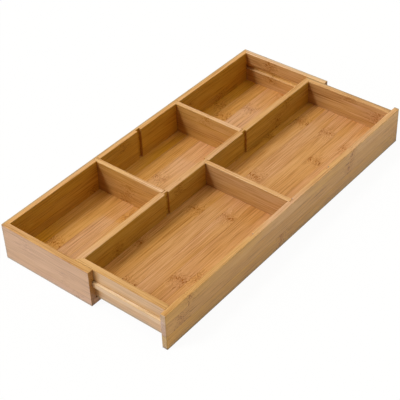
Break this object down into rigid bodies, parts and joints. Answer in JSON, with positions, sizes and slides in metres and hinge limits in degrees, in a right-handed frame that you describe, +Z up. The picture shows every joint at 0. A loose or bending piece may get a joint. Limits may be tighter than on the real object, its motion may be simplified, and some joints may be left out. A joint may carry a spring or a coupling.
{
  "type": "cutlery tray",
  "caption": "Expandable bamboo drawer tray for cutlery: a sliding tray telescopes out of a fixed one on rails, with loose dividers standing in slots.",
  "frame": {"origin": "under the middle of the drawn-out tray, on the surface it stands on", "axes": "+X the way the sliding tray comes out, +Y along the tray to its far end, +Z up"},
  "size_m": [0.244, 0.46, 0.05],
  "materials": {
    "bamboo_wall": "satin",
    "bamboo_floor": "satin",
    "bamboo_divider": "satin",
    "bamboo_rail": "satin"
  },
  "bodies": {
    "fixed_tray": {"fixed_floor": "bamboo_floor", "left_wall": "bamboo_wall", "fixed_front_end": "bamboo_wall", "fixed_rear_end": "bamboo_wall"},
    "sliding_tray": {"sliding_floor": "bamboo_floor", "inner_wall": "bamboo_wall", "sliding_front_end": "bamboo_wall", "sliding_rear_end": "bamboo_wall", "right_wall": "bamboo_wall", "front_rail": "bamboo_rail", "rear_rail": "bamboo_rail"},
    "loose_divider_left_front": {"divider_left_front": "bamboo_divider"},
    "loose_divider_left_rear": {"divider_left_rear": "bamboo_divider"},
    "loose_divider_right": {"divider_right": "bamboo_divider"}
  },
  "joints": [
    {"name": "tray_slide", "type": "slide", "parent": "fixed_tray", "child": "sliding_tray", "axis": [1, 0, 0], "range_m": [0, 0.02]},
    {"name": "divider_left_front_lift", "type": "slide", "parent": "fixed_tray", "child": "loose_divider_left_front", "axis": [0, 0, 1], "range_m": [0, 0.06]},
    {"name": "divider_left_rear_lift", "type": "slide", "parent": "fixed_tray", "child": "loose_divider_left_rear", "axis": [0, 0, 1], "range_m": [0, 0.06]},
    {"name": "divider_right_lift", "type": "slide", "parent": "sliding_tray", "child": "loose_divider_right", "axis": [0, 0, 1], "range_m": [0, 0.06]}
  ]
}
